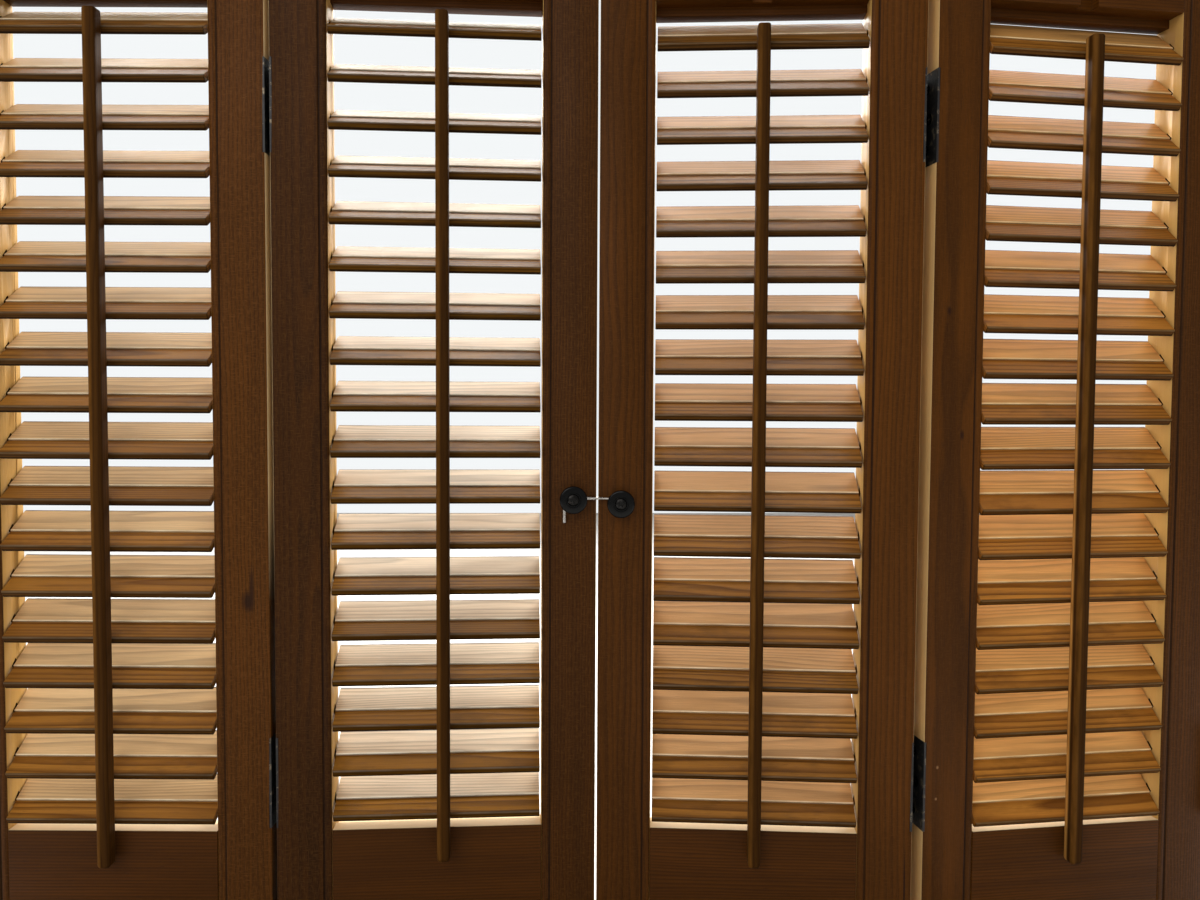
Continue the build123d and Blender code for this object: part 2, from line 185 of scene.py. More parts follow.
# Stage and light
STAGE_SIZE = 8
STAGE_ROUGHNESS = 0.9
BACKDROP_HEIGHT = 4
BACKDROP_DISTANCE = 2.6
WORLD_COLOUR = (1.0, 0.985, 0.96, 1.0)
WORLD_STRENGTH = 0.36
WINDOW_LAMP = {"place": (0.15, 1.15, 1.15), "size": (2.4, 1.5), "power": 110, "colour": (1.0, 0.98, 0.95)}
ROOM_LAMP = {"place": (-0.8, -1.6, 1.0), "size": (1.6, 1.2), "power": 13, "colour": (1.0, 0.97, 0.93)}


# Leaf frames

def leaf_frame(number):
    """Give a leaf's own axes from its hinge and the way it is turned."""
    joint, (x, y) = LEAF_HINGES[number]
    turn = Matrix.Rotation(radians(LEAF_TURNS[number]), 4, "Z")
    corner = joint_places[joint] - turn @ Vector((x, y, 0))
    corner.z = -LEAF_HEIGHT / 2 - LEAF_DROPS[number]
    return Matrix.Translation(corner) @ turn


leaf_frames = {number: leaf_frame(number) for number in LEAF_TURNS}
grain_along_leaf = Matrix.Identity(4)
grain_upright = Matrix(((0, 1, 0, 0), (0, 0, 1, 0), (1, 0, 0, 0), (0, 0, 0, 1)))
top_pivot = LEAF_HEIGHT - TOP_RAIL_HEIGHT - GAP_OVER_LOUVRES
pivot_heights = [top_pivot - place * LOUVRE_PITCH for place in range(LOUVRE_COUNT)]


# Meshes

def finish_piece(name, bm, matrix, body, material, sharp_angle=TIMBER_SHARP_ANGLE):
    """Turn a mesh in its own axes into a shaded piece that rides on a body."""
    bmesh.ops.recalc_face_normals(bm, faces=bm.faces)
    mesh = bpy.data.meshes.new(name)
    bm.to_mesh(mesh)
    bm.free()
    mesh.shade_smooth()
    mesh.set_sharp_from_angle(angle=radians(sharp_angle))
    mesh.materials.append(material)
    piece = bpy.data.objects.new(name, mesh)
    bpy.context.scene.collection.objects.link(piece)
    piece.matrix_world = matrix
    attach(piece, body)
    return piece


def rounded_outline(corners, wear_and_light_width, steps=4):
    """Round the corners of an outline; each corner is (x, y, radius, mark), where a mark above 0 is rubbing
    with painted light and one below 0 is painted shade.
    """
    outline = []
    for index, (x, y, radius, wear_and_painted_light) in enumerate(corners):
        corner = Vector((x, y))
        before = Vector(corners[index - 1][:2])
        after = Vector(corners[(index + 1) % len(corners)][:2])
        to_before = (before - corner).normalized()
        to_after = (after - corner).normalized()
        if radius == 0:
            outline.append((corner + to_before * wear_and_light_width, 0))
            outline.append((corner, wear_and_painted_light))
            outline.append((corner + to_after * wear_and_light_width, 0))
            continue
        half = acos(max(-1.0, min(1.0, to_before.dot(to_after)))) / 2
        start = corner + to_before * radius / tan(half)
        end = corner + to_after * radius / tan(half)
        centre = corner + (to_before + to_after).normalized() * radius / sin(half)
        outline.append((start + to_before * wear_and_light_width, 0))
        for step in range(steps + 1):
            share = step / steps
            point = start.lerp(end, share) - centre
            outline.append((centre + point.normalized() * radius, wear_and_painted_light))
        outline.append((end + to_after * wear_and_light_width, 0))
    return outline


def swept(outline, stations):
    """Sweep an outline along x through stations of (x, inset), and keep its marks of rubbing, painted light
    and painted shade for the shader.
    """
    bm = bmesh.new()
    wear_and_light_layer = bm.verts.layers.float.new("wear_and_painted_light")
    middle = sum((point for point, _ in outline), Vector((0, 0))) / len(outline)
    rings = []
    for x, inset in stations:
        ring = []
        for point, wear_and_painted_light in outline:
            from_middle = point - middle
            scale = 1 - inset / from_middle.length
            place = middle + from_middle * scale
            vertex = bm.verts.new((x, place.x, place.y))
            vertex[wear_and_light_layer] = wear_and_painted_light
            ring.append(vertex)
        rings.append(ring)
    for ring, following in zip(rings, rings[1:]):
        for index in range(len(ring)):
            bm.faces.new((ring[index - 1], ring[index], following[index], following[index - 1]))
    bm.faces.new(rings[0])
    bm.faces.new(rings[-1])
    return bm


def lathe(profile, segments=64):
    """Turn a profile of (radius, height) about the z axis."""
    bm = bmesh.new()
    rings = []
    for radius, height in profile:
        if radius == 0:
            rings.append([bm.verts.new((0, 0, height))])
            continue
        angles = [2 * pi * step / segments for step in range(segments)]
        rings.append([bm.verts.new((radius * cos(a), radius * sin(a), height)) for a in angles])
    for ring, following in zip(rings, rings[1:]):
        for index in range(segments):
            first = [ring[index - 1], ring[index]] if len(ring) > 1 else ring
            second = [following[index], following[index - 1]] if len(following) > 1 else following
            bm.faces.new(first + second)
    return bm


def wire(points, radius, sides=16):
    """Run round wire through points, with flat ends."""
    bm = bmesh.new()
    rings = []
    directions = [(b - a).normalized() for a, b in zip(points, points[1:])]
    headings = [directions[0]]
    headings += [(a + b).normalized() for a, b in zip(directions, directions[1:])]
    headings.append(directions[-1])
    across = headings[0].orthogonal()
    for point, heading in zip(points, headings):
        across = (across - heading * across.dot(heading)).normalized()
        other = heading.cross(across)
        angles = [2 * pi * step / sides for step in range(sides)]
        rings.append([bm.verts.new(point + radius * (across * cos(a) + other * sin(a))) for a in angles])
    for ring, following in zip(rings, rings[1:]):
        for index in range(sides):
            bm.faces.new((ring[index - 1], ring[index], following[index], following[index - 1]))
    bm.faces.new(rings[0])
    bm.faces.new(rings[-1])
    return bm


def repeated(bm, places):
    """Copy a small mesh to each of the places and give the copies as one mesh."""
    mesh = bpy.data.meshes.new("repeated")
    bm.to_mesh(mesh)
    bm.free()
    copies = bmesh.new()
    for place in places:
        first = len(copies.verts)
        copies.from_mesh(mesh)
        copies.verts.ensure_lookup_table()
        bmesh.ops.transform(copies, matrix=place, verts=copies.verts[first:])
    bpy.data.meshes.remove(mesh)
    return copies


def arc(centre, radius, start, sweep, steps):
    """List points on an arc in the xz plane, with angles counted from +x towards +z."""
    angles = [radians(start + sweep * step / steps) for step in range(steps + 1)]
    return [centre + Vector((radius * cos(a), 0, radius * sin(a))) for a in angles]


# Shader helpers

def new_shader(name):
    """Start a material and give it with its node tree and main shader."""
    material = bpy.data.materials.new(name)
    material.use_nodes = True
    tree = material.node_tree
    return material, tree, tree.nodes["Principled BSDF"]


def put(tree, kind, values=None, **settings):
    """Add a node, set its settings and fill its inputs with numbers or links."""
    node = tree.nodes.new(kind)
    for name, setting in settings.items():
        setattr(node, name, setting)
    for key, value in (values or {}).items():
        if isinstance(value, bpy.types.NodeSocket):
            tree.links.new(value, node.inputs[key])
        else:
            node.inputs[key].default_value = value
    return node


def maths(tree, operation, first, second=0.0, third=0.0):
    """Add a sum on numbers."""
    return put(tree, "ShaderNodeMath", {0: first, 1: second, 2: third}, operation=operation).outputs[0]


def product(tree, first, *others):
    """Multiply numbers."""
    for other in others:
        first = maths(tree, "MULTIPLY", first, other)
    return first


def vector_maths(tree, operation, first, second=(0, 0, 0)):
    """Add a sum on vectors."""
    return put(tree, "ShaderNodeVectorMath", {0: first, 1: second}, operation=operation).outputs["Vector"]


def own_coordinates(tree):
    """Give a piece's own coordinates."""
    return put(tree, "ShaderNodeTexCoord").outputs["Object"]


def parts_of(tree, vector):
    """Split a vector into its three numbers."""
    return put(tree, "ShaderNodeSeparateXYZ", {0: vector}).outputs


def noise(tree, vector, scale, detail=2.0, roughness=0.5):
    """Add a noise pattern."""
    values = {"Vector": vector, "Scale": scale, "Detail": detail, "Roughness": roughness}
    return put(tree, "ShaderNodeTexNoise", values).outputs["Fac"]


def stretched_noise(tree, vector, scales, detail=2.0, roughness=0.5):
    """Add a noise pattern with its own scale each way."""
    return noise(tree, vector_maths(tree, "MULTIPLY", vector, scales), 1.0, detail, roughness)


def remap(tree, value, low, high, to_low=0.0, to_high=1.0):
    """Spread a range of values over another, clamped."""
    values = {0: value, 1: low, 2: high, 3: to_low, 4: to_high}
    return put(tree, "ShaderNodeMapRange", values, clamp=True).outputs[0]


def blend_colour(tree, share, first, second, mode="MIX"):
    """Blend two colours."""
    node = put(tree, "ShaderNodeMix", {0: share, 6: first, 7: second}, data_type="RGBA", blend_type=mode)
    return node.outputs[2]


def toned(tree, colour, tone):
    """Make a colour lighter or darker."""
    tones = put(tree, "ShaderNodeCombineColor", {0: tone, 1: tone, 2: tone}).outputs[0]
    return blend_colour(tree, 1.0, colour, tones, "MULTIPLY")


def add_relief(tree, shader, height, strength, distance):
    """Give a surface the relief of a pattern."""
    bump = put(tree, "ShaderNodeBump", {"Height": height, "Strength": strength, "Distance": distance})
    tree.links.new(bump.outputs["Normal"], shader.inputs["Normal"])


def linear(red, green, blue):
    """Give a colour written in 0 to 255 as the shader wants it."""
    def channel(value):
        share = value / 255
        return share / 12.92 if share <= 0.04045 else ((share + 0.055) / 1.055) ** 2.4
    return channel(red), channel(green), channel(blue), 1.0


# Grain patterns: their scales along, across and through the grain
WANDER_SCALES = (5.0, 45.0, 45.0)
FIBRE_SCALES = (45.0, 1500.0, 1500.0)
PORE_SCALES = (160.0, 2600.0, 2600.0)
PATCH_SCALES = (9.0, 28.0, 28.0)
STREAK_SCALES = (3.0, 170.0, 170.0)
BLOTCH_SCALES = (16.0, 40.0, 40.0)
RUB_SCALES = (60.0, 300.0, 300.0)
LEVEL_FUZZ_SCALES = (1500.0, 260.0, 260.0)
UPRIGHT_FUZZ_SCALES = (240.0, 1300.0, 1300.0)
SCRATCH_SCALES = (400.0, 4000.0, 4000.0)

# Where a piece was cut from its tree: spread along, spread across, least and further depth beside the heart
CUT_ALONG = 5.0
CUT_ACROSS = 0.050
HEART_DEPTH = 0.012
HEART_SPREAD = 0.035
SECOND_CHANCE = 7.31
SURROUND_CUT = (0.3, 0.011, 0.031)
RING_WANDER_ACROSS = 0.010
RING_WANDER_THROUGH = 0.006
LATE_WOOD_START = 0.35
LATE_WOOD_PEAK = 0.88

# Where painted light and painted shade lie on a piece; a pair is where it starts and where it is full
FACE_TOLERANCE = 0.0002
STEP_BLUR = (0.0001, -0.0002)
NOSE_SHADE = (0.0014, 0.0006)
TOP_SKIN = 0.0006
FRONT_SKIN = (0.0016, 0.0010)
SIDE_LIGHT_BLUR = 0.03
WHOLE_HEIGHT = -0.1
UPPER_PART = 0.235
ROD_LIT_SIDE = (0.0009, 0.0003)
ROD_LIT_DEPTH = (-0.0036, -0.0018)

# Relief depths and the widths of growth rings
GRAIN_RELIEF = 0.00022
PAINT_RELIEF = 0.0001
SCRATCH_RELIEF = 0.00005
RAIL_RINGS = 0.0018
SURROUND_RINGS = 0.0023
ROD_RINGS = 0.0019
LOUVRE_RINGS = 0.0016

# Colours
BLACK = linear(4, 4, 4)
DUST = linear(46, 43, 39)
HINGE_BLACK = linear(26, 25, 25)
BARE_HINGE = linear(128, 116, 98)
# Dark colour of painted shade in grooves and under edges
PAINTED_SHADE = linear(24, 13, 5)
STILE_LIGHT = linear(84, 46, 6)
STILE_DARK = linear(36, 18, 2)
STILE_STAIN = linear(58, 31, 3)
STILE_FUZZ = linear(122, 80, 34)
# Painted light on the stiles' side faces and on the bottom rail's upward faces
LIT_INNER_SIDE = linear(226, 180, 104)
LIT_OUTER_SIDE = linear(236, 208, 160)
GOLDEN_LIT_SIDE = linear(224, 186, 126)
ROD_LIGHT = linear(74, 45, 13)
ROD_DARK = linear(38, 21, 5)
ROD_STAIN = linear(54, 31, 8)
# Rubbed rod edges with painted light on the left ones, and painted light on the rods' left sides
RUBBED_AND_LIT_ROD = linear(134, 88, 34)
LIT_ROD_SIDE = linear(196, 140, 70)
HOOK_STEEL = linear(206, 202, 196)
DULL_HOOK = linear(150, 142, 132)
STAPLE_STEEL = linear(150, 146, 140)
DULL_STAPLE = linear(92, 84, 76)
SCREW_STEEL = linear(44, 43, 42)
DULL_SCREW = linear(30, 28, 26)
FLOOR = linear(226, 225, 222)
BACKDROP = linear(232, 233, 233)
BACKDROP_GLOW = linear(244, 247, 248)


# Materials

def grain_vector(tree):
    """Give coordinates whose x runs along the grain, shifted for each piece by its own chance value."""
    own = own_coordinates(tree)
    chance = put(tree, "ShaderNodeObjectInfo").outputs["Random"]
    other = maths(tree, "FRACT", product(tree, chance, SECOND_CHANCE))
    shift = put(tree, "ShaderNodeCombineXYZ", {
        0: product(tree, chance, CUT_ALONG),
        1: maths(tree, "MULTIPLY_ADD", other, CUT_ACROSS, -CUT_ACROSS / 2),
        2: maths(tree, "MULTIPLY_ADD", chance, HEART_SPREAD, HEART_DEPTH),
    }).outputs[0]
    return own, vector_maths(tree, "ADD", own, shift), chance


def surround_vector(tree):
    """Give coordinates whose x runs up the jambs and along the head and sill."""
    own = own_coordinates(tree)
    parts = parts_of(tree, own)
    upright = put(tree, "ShaderNodeCombineXYZ", {0: parts[2], 1: parts[0], 2: parts[1]}).outputs[0]
    half_opening = cad_box[1].x - SURROUND_FACE
    on_jamb = maths(tree, "GREATER_THAN", maths(tree, "ABSOLUTE", parts[0]), half_opening)
    vector = put(tree, "ShaderNodeMix", {0: on_jamb, 4: own, 5: upright}, data_type="VECTOR").outputs[1]
    return own, vector_maths(tree, "ADD", vector, SURROUND_CUT), None


def growth_rings(tree, grain, ring_width):
    """Give the share of dark late wood, in rings round a tree's heart that wanders beside the piece."""
    wander = stretched_noise(tree, grain, WANDER_SCALES)
    parts = parts_of(tree, grain)
    across = maths(tree, "MULTIPLY_ADD", wander, RING_WANDER_ACROSS, parts[1])
    through = maths(tree, "MULTIPLY_ADD", wander, RING_WANDER_THROUGH, parts[2])
    square = maths(tree, "ADD", product(tree, across, across), product(tree, through, through))
    rings = maths(tree, "FRACT", maths(tree, "DIVIDE", maths(tree, "SQRT", square), ring_width))
    rise = remap(tree, rings, LATE_WOOD_START, LATE_WOOD_PEAK)
    return product(tree, rise, remap(tree, rings, 1.0, LATE_WOOD_PEAK))


def wood_grain(tree, vector, ring_width):
    """Give the patterns that all layers of a wood share."""
    own, grain, chance = vector(tree)
    return {
        "own": own,
        "grain": grain,
        "chance": chance,
        "late": growth_rings(tree, grain, ring_width),
        "fibres": stretched_noise(tree, grain, FIBRE_SCALES, 3.0, 0.6),
        "pores": remap(tree, stretched_noise(tree, grain, PORE_SCALES, 1.0), 0.64, 0.74),
        "patches": stretched_noise(tree, grain, PATCH_SCALES, 3.0),
        "streaks": stretched_noise(tree, grain, STREAK_SCALES, 4.0, 0.6),
    }


def stained(tree, timber, light, dark, stain, contrast):
    """Give stained timber: rings, fibres, pores, streaks and an uneven coat."""
    colour = blend_colour(tree, product(tree, timber["late"], contrast), light, dark)
    colour = toned(tree, colour, remap(tree, timber["fibres"], 0.25, 0.75, 0.80, 1.16))
    colour = toned(tree, colour, remap(tree, timber["streaks"], 0.3, 0.7, 0.82, 1.14))
    colour = blend_colour(tree, remap(tree, timber["patches"], 0.38, 0.72, 0.0, 0.55), colour, stain)
    colour = blend_colour(tree, product(tree, timber["pores"], 0.35), colour, dark)
    if timber["chance"] is None:
        return colour
    return toned(tree, colour, remap(tree, timber["chance"], 0.0, 1.0, 0.88, 1.10))


def painted_louvre_light(tree, timber, colour, lit_top_colour, lap_light_level):
    """Paint light on a louvre's top behind its step, most at the back; paint a light level onto its front
    lap and paint shade on its nose.
    """
    spots = parts_of(tree, timber["own"])
    # Painted light level on the front lap in front of the step, and painted shade on the nose
    before_step = remap(tree, spots[1], *(blur - LAP_START for blur in STEP_BLUR))
    nose = remap(tree, spots[1], *(reach - LOUVRE_CHORD / 2 for reach in NOSE_SHADE))
    front_light_level = maths(tree, "MULTIPLY_ADD", nose, NOSE_SHADE_TONE - lap_light_level, lap_light_level)
    tone = maths(tree, "MULTIPLY_ADD", before_step, maths(tree, "SUBTRACT", front_light_level, 1.0), 1.0)
    colour = toned(tree, colour, tone)
    # Painted light on the top behind the step, strongest at the back
    on_top = remap(tree, spots[2], 0.0, TOP_SKIN)
    depth = remap(tree, spots[1], -LAP_START, LOUVRE_CHORD / 2, 0.82, 1.0)
    uneven = remap(tree, timber["patches"], 0.25, 0.75, 1.0, 0.52)
    share = product(tree, on_top, depth, uneven, maths(tree, "SUBTRACT", 1.0, before_step))
    lit_top_colour = toned(tree, lit_top_colour, remap(tree, timber["late"], 0.0, 1.0, 1.04, 0.74))
    lit_top_colour = toned(tree, lit_top_colour, remap(tree, timber["fibres"], 0.25, 0.75, 0.86, 1.10))
    return blend_colour(tree, share, colour, lit_top_colour)


def painted_side_light(tree, timber, colour, inner_light, outer_light, lit_from):
    """Paint light on a stile's side faces: the one along the louvres, and the one in the gap from a height
    up.
    """
    spots = parts_of(tree, timber["own"])
    from_middle = maths(tree, "ABSOLUTE", maths(tree, "SUBTRACT", spots[1], LEAF_WIDTH / 2))
    inner = maths(tree, "LESS_THAN", from_middle, LEAF_WIDTH / 2 - STILE_WIDTH + FACE_TOLERANCE)
    outer = maths(tree, "GREATER_THAN", from_middle, LEAF_WIDTH / 2 - FACE_TOLERANCE)
    uneven = remap(tree, timber["patches"], 0.2, 0.8, 0.92, 0.62)
    # Painted light on the side face along the louvres
    colour = blend_colour(tree, product(tree, inner, uneven), colour, inner_light)
    # Painted light on the side face in the gap, from a height up
    high = remap(tree, spots[0], lit_from - SIDE_LIGHT_BLUR, lit_from + SIDE_LIGHT_BLUR)
    return blend_colour(tree, product(tree, outer, high, uneven), colour, outer_light)


def painted_bead_shadow(tree, timber, colour, strength):
    """Paint shadow into the groove beside a stile's bead."""
    spots = parts_of(tree, timber["own"])
    from_middle = maths(tree, "ABSOLUTE", maths(tree, "SUBTRACT", spots[1], LEAF_WIDTH / 2))
    quirk = LEAF_WIDTH / 2 - STILE_WIDTH + BEAD_WIDTH
    away = maths(tree, "ABSOLUTE", maths(tree, "SUBTRACT", from_middle, quirk))
    groove = remap(tree, away, QUIRK_HALF_WIDTH, QUIRK_HALF_WIDTH / 3)
    front = remap(tree, spots[2], *FRONT_SKIN)
    uneven = remap(tree, timber["patches"], 0.2, 0.8, 1.0, 0.7)
    # Painted shadow in the bead's groove
    return blend_colour(tree, product(tree, groove, front, uneven, strength), colour, PAINTED_SHADE)


def painted_upward_light(tree, timber, colour, tone):
    """Paint light on the faces that look up to the light."""
    upward = parts_of(tree, put(tree, "ShaderNodeTexCoord").outputs["Normal"])[2]
    uneven = remap(tree, timber["patches"], 0.2, 0.8, 0.95, 0.75)
    # Painted light on upward faces
    return blend_colour(tree, product(tree, remap(tree, upward, 0.5, 0.9), uneven), colour, tone)


def cross_fuzz(tree, timber, colour, tone, strength):
    """Add the fine cross-hatched marks of raised fibres."""
    level = stretched_noise(tree, timber["own"], LEVEL_FUZZ_SCALES)
    upright = stretched_noise(tree, timber["own"], UPRIGHT_FUZZ_SCALES)
    weave = remap(tree, maths(tree, "MAXIMUM", level, upright), 0.50, 0.76, 0.0, strength)
    return blend_colour(tree, weave, colour, tone)


def rubbed_edges_and_painted_light(tree, timber, colour, tone):
    """Rub edges paler, partly as a painted highlight, and paint shade where the mark kept with the mesh is
    below 0.
    """
    wear_and_painted_light = put(tree, "ShaderNodeAttribute", attribute_name="wear_and_painted_light").outputs["Fac"]
    rub = stretched_noise(tree, timber["grain"], RUB_SCALES, 3.0)
    rubbed = product(tree, remap(tree, wear_and_painted_light, 0.0, 1.0), remap(tree, rub, 0.30, 0.62, 0.35, 0.95))
    # Rubbed edges, partly a painted highlight
    colour = blend_colour(tree, rubbed, colour, tone)
    # Painted shade where the mark is below 0
    return blend_colour(tree, remap(tree, wear_and_painted_light, 0.0, -1.0, 0.0, 0.85), colour, PAINTED_SHADE)


def marked(tree, timber, colour, marks):
    """Add knots, cracks and chips at set places."""
    for place, size, tone in marks:
        away = vector_maths(tree, "SUBTRACT", timber["own"], place)
        away = vector_maths(tree, "DIVIDE", away, size)
        distance = put(tree, "ShaderNodeVectorMath", {0: away}, operation="LENGTH").outputs["Value"]
        ragged = maths(tree, "MULTIPLY_ADD", timber["fibres"], 0.9, maths(tree, "SUBTRACT", distance, 0.45))
        colour = blend_colour(tree, remap(tree, ragged, 1.05, 0.35, 0.0, 0.85), colour, tone)
    return colour


def coat_wood(tree, shader, timber, colour, sheen=0.10, satin=0.46):
    """Give a wood its colour, its satin coat and the relief of its grain."""
    tree.links.new(colour, shader.inputs["Base Color"])
    coat = remap(tree, timber["patches"], 0.3, 0.7, satin - 0.06, satin + 0.08)
    tree.links.new(maths(tree, "MULTIPLY_ADD", timber["fibres"], 0.06, coat), shader.inputs["Roughness"])
    fine = maths(tree, "SUBTRACT", timber["fibres"], timber["pores"])
    add_relief(tree, shader, maths(tree, "MULTIPLY_ADD", timber["late"], 0.5, fine), 0.32, GRAIN_RELIEF)
    shader.inputs["Specular IOR Level"].default_value = sheen


def black_plastic():
    """Make gloss black plastic with fine dust and scuffs."""
    material, tree, shader = new_shader("latch_black")
    own = own_coordinates(tree)
    dust = remap(tree, noise(tree, own, 700.0, 5.0, 0.7), 0.56, 0.80, 0.0, 0.10)
    scuffs = remap(tree, noise(tree, own, 420.0, 3.0), 0.3, 0.7, 0.08, 0.16)
    tree.links.new(blend_colour(tree, dust, BLACK, DUST), shader.inputs["Base Color"])
    tree.links.new(scuffs, shader.inputs["Roughness"])
    shader.inputs["Specular IOR Level"].default_value = 0.22
    add_relief(tree, shader, noise(tree, own, 2600.0), 0.10, PAINT_RELIEF)
    return material


def hinge_paint():
    """Make black hinge paint, rubbed to steel in places."""
    material, tree, shader = new_shader("hinge_steel")
    own = own_coordinates(tree)
    rubbed = remap(tree, noise(tree, own, 240.0, 5.0, 0.65), 0.56, 0.64)
    dull = remap(tree, noise(tree, own, 600.0, 3.0), 0.3, 0.7, 0.32, 0.52)
    tree.links.new(blend_colour(tree, rubbed, HINGE_BLACK, BARE_HINGE), shader.inputs["Base Color"])
    tree.links.new(product(tree, rubbed, 0.8), shader.inputs["Metallic"])
    tree.links.new(dull, shader.inputs["Roughness"])
    add_relief(tree, shader, noise(tree, own, 1500.0, 3.0), 0.2, PAINT_RELIEF)
    return material


def bright_steel(name, tone, dull):
    """Make drawn steel with fine scratches and dull patches."""
    material, tree, shader = new_shader(name)
    own = own_coordinates(tree)
    spots = remap(tree, noise(tree, own, 500.0, 4.0, 0.6), 0.50, 0.72)
    tree.links.new(blend_colour(tree, spots, tone, dull), shader.inputs["Base Color"])
    shader.inputs["Metallic"].default_value = 1.0
    tree.links.new(remap(tree, spots, 0.0, 1.0, 0.24, 0.42), shader.inputs["Roughness"])
    add_relief(tree, shader, stretched_noise(tree, own, SCRATCH_SCALES), 0.15, SCRATCH_RELIEF)
    return material


# Marks on single stiles: place in the stile's own axes (up, along the leaf, to the back), size, colour
FRONT_ONLY = 0.004
DARK_KNOT = linear(38, 20, 10)
PALE_CHIP = linear(150, 112, 74)
leaf_1_marks = [
    ((0.2054, 0.1658, 0), (0.0068, 0.0040, FRONT_ONLY), DARK_KNOT),
    ((0.2120, 0.1680, 0), (0.0160, 0.0016, FRONT_ONLY), linear(48, 27, 12)),
]
leaf_3_marks = [((0.0460, 0.1740, 0), (0.0200, 0.0006, FRONT_ONLY), linear(22, 12, 7))]
leaf_4_marks = [
    ((0.3698, 0.0096, 0), (0.0030, 0.0015, FRONT_ONLY), DARK_KNOT),
    ((0.3012, 0.0186, 0), (0.0034, 0.0015, FRONT_ONLY), DARK_KNOT),
    ((0.1144, 0.0082, 0), (0.0012, 0.0009, FRONT_ONLY), PALE_CHIP),
    ((0.0964, 0.0076, 0), (0.0010, 0.0008, FRONT_ONLY), PALE_CHIP),
]

# How strongly light is painted on each rod's left side
ROD_LIT_SIDE_SHARES = {1: 0.25, 2: 0.55, 3: 0.30, 4: 0.95}

# Each leaf's louvres: light and dark wood, stain, painted light on the tops, painted light level of the
# front lap, rubbed edges with a painted highlight on the step
LOUVRE_TONES = {
    1: ((140, 94, 36), (76, 42, 12), (112, 70, 24), (222, 190, 142), 1.35, (255, 238, 204)),
    2: ((150, 100, 26), (80, 46, 8), (114, 72, 12), (232, 216, 190), 1.00, (255, 246, 224)),
    3: ((138, 92, 36), (66, 36, 10), (108, 66, 22), (208, 162, 110), 1.25, (255, 230, 192)),
    4: ((152, 100, 38), (76, 40, 10), (120, 72, 22), (236, 178, 106), 1.45, (255, 226, 172)),
}
# How dark the painted shade on a louvre's nose is
NOSE_SHADE_TONE = 0.38


def plain_wood(name, ring_width, vector=grain_vector, lit_on_top=False):
    """Make the leaves' stained wood without rubbed edges, with painted light on upward faces where asked.
    """
    material, tree, shader = new_shader(name)
    timber = wood_grain(tree, vector, ring_width)
    colour = stained(tree, timber, STILE_LIGHT, STILE_DARK, STILE_STAIN, 0.5)
    colour = cross_fuzz(tree, timber, colour, STILE_LIGHT, 0.2)
    # Painted light on upward faces
    if lit_on_top:
        colour = painted_upward_light(tree, timber, colour, LIT_OUTER_SIDE)
    coat_wood(tree, shader, timber, colour)
    return material


def stile_wood(side, ring_width, tone=1.0, fuzz=0.25, marks=(), outer=LIT_OUTER_SIDE, lit_from=WHOLE_HEIGHT):
    """Make the wood of a stile, named by leaf and side, paint shadow in its bead's groove and paint light
    on its side faces.
    """
    material, tree, shader = new_shader(f"stile_wood_{side}")
    timber = wood_grain(tree, grain_vector, ring_width)
    colour = stained(tree, timber, STILE_LIGHT, STILE_DARK, STILE_STAIN, 0.5)
    colour = cross_fuzz(tree, timber, colour, STILE_FUZZ, fuzz)
    colour = toned(tree, colour, tone)
    colour = marked(tree, timber, colour, marks)
    # Painted shadow in the groove beside the bead
    colour = painted_bead_shadow(tree, timber, colour, 0.85)
    # Painted light on the side faces
    colour = painted_side_light(tree, timber, colour, LIT_INNER_SIDE, outer, lit_from)
    coat_wood(tree, shader, timber, colour)
    return material


def rod_wood(number, lit_side):
    """Make a tilt rod's wood, rubbed along its edges, with painted light on its left side and painted shade
    at its front right edge.
    """
    material, tree, shader = new_shader(f"rod_wood_{number}")
    timber = wood_grain(tree, grain_vector, ROD_RINGS)
    colour = stained(tree, timber, ROD_LIGHT, ROD_DARK, ROD_STAIN, 0.5)
    spots = parts_of(tree, timber["own"])
    side = remap(tree, spots[1], *(reach - ROD_WIDTH / 2 for reach in ROD_LIT_SIDE), 0.0, lit_side)
    behind = remap(tree, spots[2], *ROD_LIT_DEPTH)
    uneven = remap(tree, timber["streaks"], 0.3, 0.7, 1.0, 0.6)
    # Painted light on the left side
    colour = blend_colour(tree, product(tree, side, behind, uneven), colour, LIT_ROD_SIDE)
    # Rubbed edges, with painted light along the left edges and painted shade at the front right edge
    colour = rubbed_edges_and_painted_light(tree, timber, colour, RUBBED_AND_LIT_ROD)
    coat_wood(tree, shader, timber, colour, sheen=0.04, satin=0.6)
    return material


def louvre_wood(number):
    """Make the wood of a leaf's louvres, with painted light on top as far as the step."""
    light, dark, stain, lit_top_colour, lap_light_level, rubbed = LOUVRE_TONES[number]
    material, tree, shader = new_shader(f"louvre_wood_{number}")
    timber = wood_grain(tree, grain_vector, LOUVRE_RINGS)
    colour = stained(tree, timber, linear(*light), linear(*dark), linear(*stain), 0.8)
    blotches = stretched_noise(tree, timber["grain"], BLOTCH_SCALES, 4.0, 0.7)
    colour = toned(tree, colour, remap(tree, blotches, 0.30, 0.48, 0.62, 1.0))
    # Painted light on the top, a painted light level on the front lap and painted shade on the nose
    colour = painted_louvre_light(tree, timber, colour, linear(*lit_top_colour), lap_light_level)
    # Rubbed edges with a painted highlight along the step, and painted shade under the nose
    colour = rubbed_edges_and_painted_light(tree, timber, colour, linear(*rubbed))
    coat_wood(tree, shader, timber, colour, sheen=0.05)
    return material


